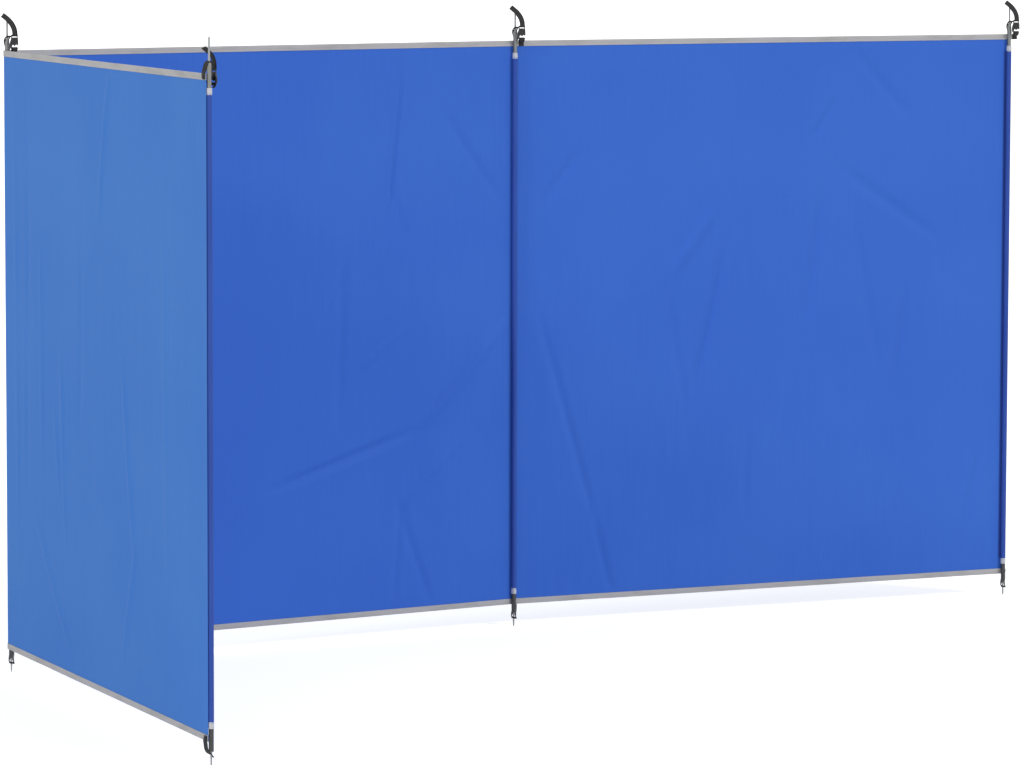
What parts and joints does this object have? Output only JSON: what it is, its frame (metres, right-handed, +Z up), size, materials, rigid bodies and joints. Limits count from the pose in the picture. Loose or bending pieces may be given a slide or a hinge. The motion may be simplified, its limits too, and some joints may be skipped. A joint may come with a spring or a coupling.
{
  "type": "beach windbreak",
  "caption": "Cloth windbreak in folding bays, taped along its edges and carried by sleeved steel poles with ground pins, top pins and buckled tension straps.",
  "frame": {"origin": "flat tip of the corner pole's ground pin", "axes": "+Z up, +X along the middle bay from the corner pole to the middle pole, -Y the sheltered side"},
  "size_m": [3.2781, 1.497, 1.6452],
  "materials": {
    "cloth": "coated plain-weave polyester, satin",
    "edge_tape": "light grey woven binding tape",
    "sleeve_cloth": "coated plain-weave polyester, satin",
    "binding": "light grey woven binding tape",
    "webbing": "black woven webbing",
    "buckle_plastic": "black moulded plastic",
    "dark_tube": "dark grey lacquered steel",
    "steel_tube": "satin steel"
  },
  "bodies": {
    "middle_bay": {"middle_bay_cloth": "cloth", "middle_bay_top_tape": "edge_tape", "middle_bay_hem_tape": "edge_tape", "corner_lower_tube": "dark_tube", "corner_upper_tube": "steel_tube", "corner_sleeve": "sleeve_cloth", "corner_collars": "binding", "corner_top_strap": "webbing", "corner_anchor_strap": "webbing", "corner_buckle": "buckle_plastic", "corner_strap_tail": "webbing", "corner_foot_strap": "webbing"},
    "left_bay": {"left_bay_cloth": "cloth", "left_bay_top_tape": "edge_tape", "left_bay_hem_tape": "edge_tape", "left_end_lower_tube": "dark_tube", "left_end_upper_tube": "steel_tube", "left_end_sleeve": "sleeve_cloth", "left_end_collars": "binding", "left_end_top_strap": "webbing", "left_end_anchor_strap": "webbing", "left_end_buckle": "buckle_plastic", "left_end_strap_tail": "webbing", "left_end_foot_strap": "webbing"},
    "right_bay": {"right_bay_cloth": "cloth", "right_bay_top_tape": "edge_tape", "right_bay_hem_tape": "edge_tape", "middle_lower_tube": "dark_tube", "middle_upper_tube": "steel_tube", "middle_sleeve": "sleeve_cloth", "middle_collars": "binding", "middle_top_strap": "webbing", "middle_anchor_strap": "webbing", "middle_buckle": "buckle_plastic", "middle_strap_tail": "webbing", "middle_foot_strap": "webbing", "right_end_lower_tube": "dark_tube", "right_end_upper_tube": "steel_tube", "right_end_sleeve": "sleeve_cloth", "right_end_collars": "binding", "right_end_top_strap": "webbing", "right_end_anchor_strap": "webbing", "right_end_buckle": "buckle_plastic", "right_end_strap_tail": "webbing", "right_end_foot_strap": "webbing"}
  },
  "joints": [
    {"name": "left_fold", "type": "hinge", "parent": "middle_bay", "child": "left_bay", "pos_m": [0, 0, 0.8], "axis": [0, 0, 1], "range_deg": [-80, 35]},
    {"name": "right_fold", "type": "hinge", "parent": "middle_bay", "child": "right_bay", "pos_m": [1.5, 0, 0.8], "axis": [0, 0, 1], "range_deg": [-107, 8]}
  ]
}
